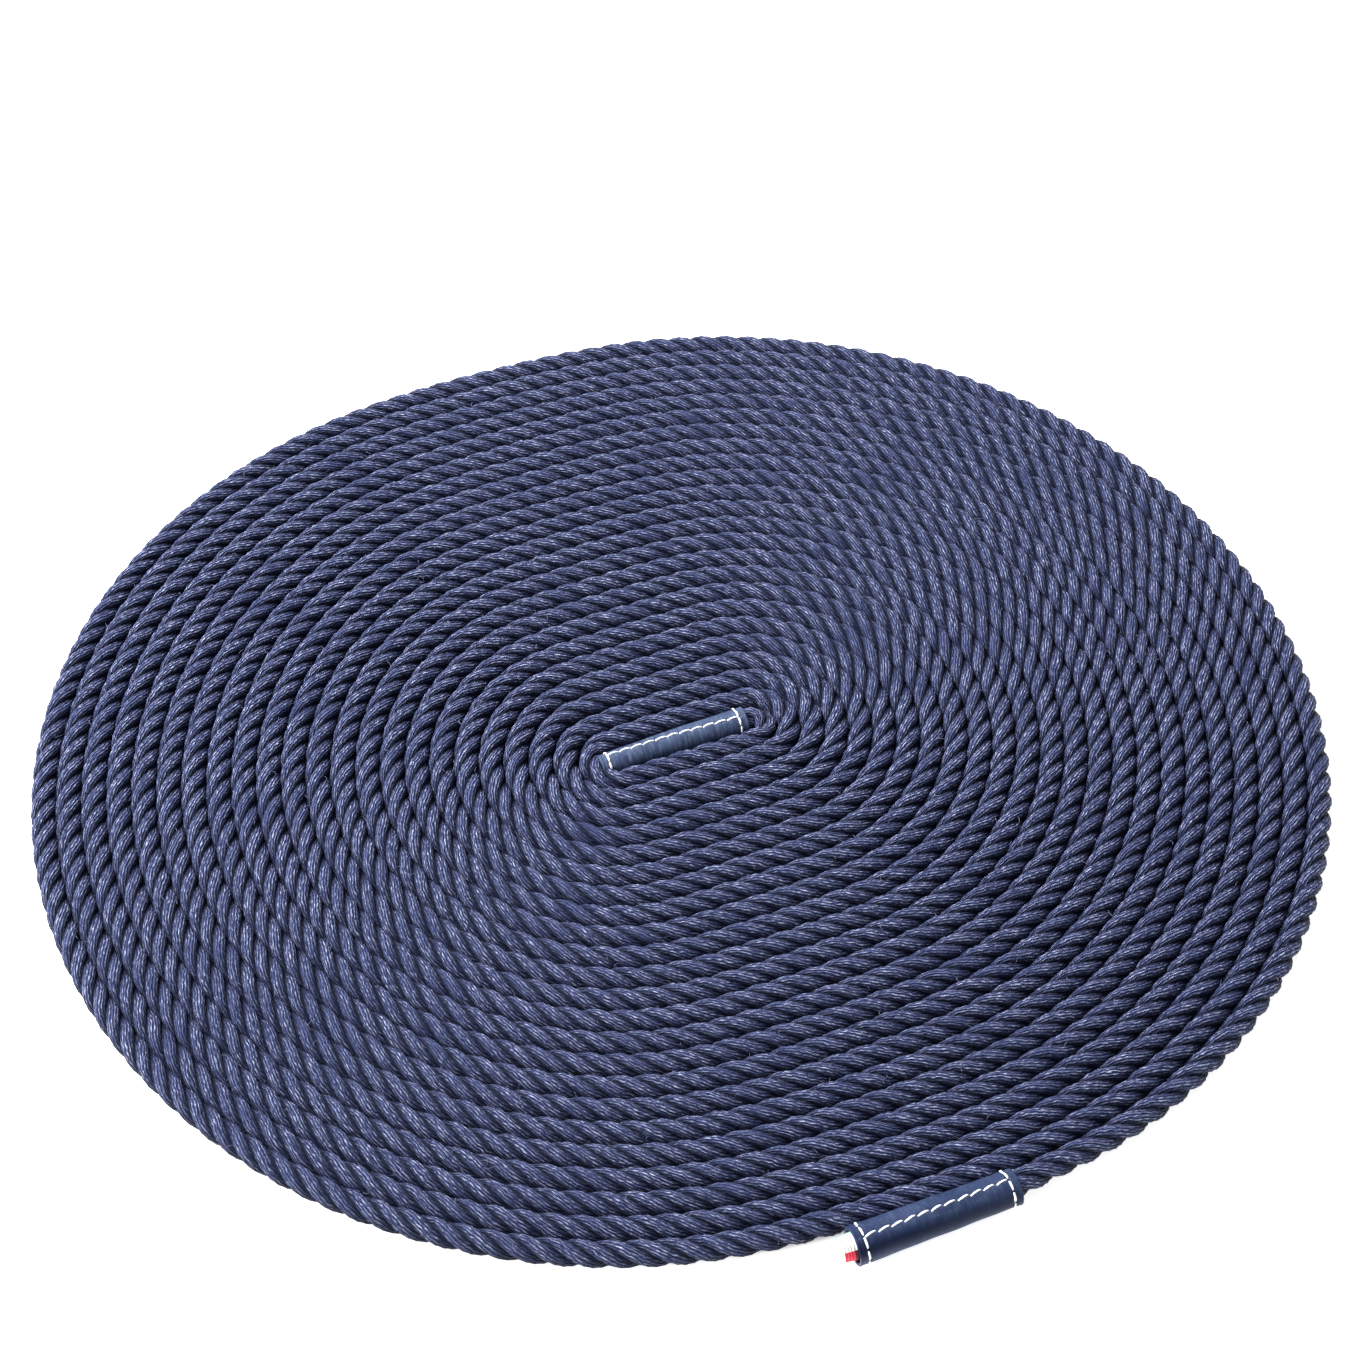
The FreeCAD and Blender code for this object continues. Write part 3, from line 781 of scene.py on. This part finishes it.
# ---------------------------------------------------------------- floor and light
def make_studio():
    """Pale floor, two soft lamps and a soft world: the plain studio round the coil."""
    n = Nodes("pale_floor")
    place = n.add("ShaderNodeNewGeometry").outputs["Position"]
    tone = n.noise(place, 3.0)
    # painted light and shade: it glows outside the coil, which washes out the shadows round it, and
    # is painted nearly black under the coil as shade, where it would otherwise shine between the
    # turns
    low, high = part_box("rope_coil")
    middle, reach = (low + high) / 2, (high - low) / 2
    split = n.add("ShaderNodeSeparateXYZ", {"Vector": place})
    out_x = n.math("DIVIDE", n.math("SUBTRACT", split.outputs["X"], middle.x), reach.x)
    out_y = n.math("DIVIDE", n.math("SUBTRACT", split.outputs["Y"], middle.y), reach.y)
    square_x, square_y = (n.math("MULTIPLY", value, value) for value in (out_x, out_y))
    out = n.math("ADD", square_x, square_y)
    painted_glow = n.math("MULTIPLY", n.ramp(out, 0.94, 0.97), 0.82)
    pale = n.mix(tone, rgb(0.93, 0.93, 0.93), rgb(0.95, 0.95, 0.95))
    painted_shade = n.mix(n.ramp(out, 0.86, 0.95), rgb(0.01, 0.01, 0.02), pale)
    n.look(Base_Color=painted_shade, Roughness=0.9)
    n.look(Emission_Color=rgb(1.0, 1.0, 1.0), Emission_Strength=painted_glow)
    half, level = 6.0, -0.0005
    square = ((-half, -half), (half, -half), (half, half), (-half, half))
    corners = [(x, y, level) for x, y in square]
    floor = bpy.data.meshes.new("floor")
    floor.from_pydata(corners, [], [(0, 1, 2, 3)])
    floor.update()
    show(floor, n.material)
    lamps = [
        ("key", (-0.65, 0.80, 1.30), 0.8, 73.0),
        ("fill", (-1.6, 0.1, 1.0), 1.4, 22.0),
    ]
    for name, place, size, power in lamps:
        data = bpy.data.lights.new(name, "AREA")
        data.size = size
        data.energy = power
        lamp = bpy.data.objects.new(name, data)
        scene.collection.objects.link(lamp)
        lamp.location = place
        lamp.rotation_mode = "QUATERNION"
        lamp.rotation_quaternion = (-lamp.location).to_track_quat("-Z", "Y")
    world = bpy.data.worlds.new("studio")
    world.use_nodes = True
    tree = world.node_tree
    background = tree.nodes["Background"]
    way = tree.nodes.new("ShaderNodeTexCoord").outputs["Generated"]
    # a wide soft light overhead and behind, a dark gap in front of it, and a pale horizon
    facing = tree.nodes.new("ShaderNodeVectorMath")
    facing.operation = "DOT_PRODUCT"
    facing.inputs[1].default_value = (0.0, 0.6, 0.8)
    tree.links.new(way, facing.inputs[0])
    split = tree.nodes.new("ShaderNodeSeparateXYZ")
    tree.links.new(way, split.inputs["Vector"])
    shares = []
    for value, low, high, least, most in (
        (facing.outputs["Value"], 0.1, 0.8, 0.03, 0.50),
        (split.outputs["Z"], 0.52, 0.34, 0.0, 0.88),
    ):
        shade = tree.nodes.new("ShaderNodeMapRange")
        ends = {"From Min": low, "From Max": high, "To Min": least, "To Max": most}
        for key, number in ends.items():
            shade.inputs[key].default_value = number
        tree.links.new(value, shade.inputs["Value"])
        shares.append(shade.outputs["Result"])
    brighter = tree.nodes.new("ShaderNodeMath")
    brighter.operation = "MAXIMUM"
    for socket, share in zip(brighter.inputs, shares):
        tree.links.new(share, socket)
    tree.links.new(brighter.outputs["Value"], background.inputs["Color"])
    scene.world = world
    scene.view_settings.view_transform = "Standard"


make_studio()
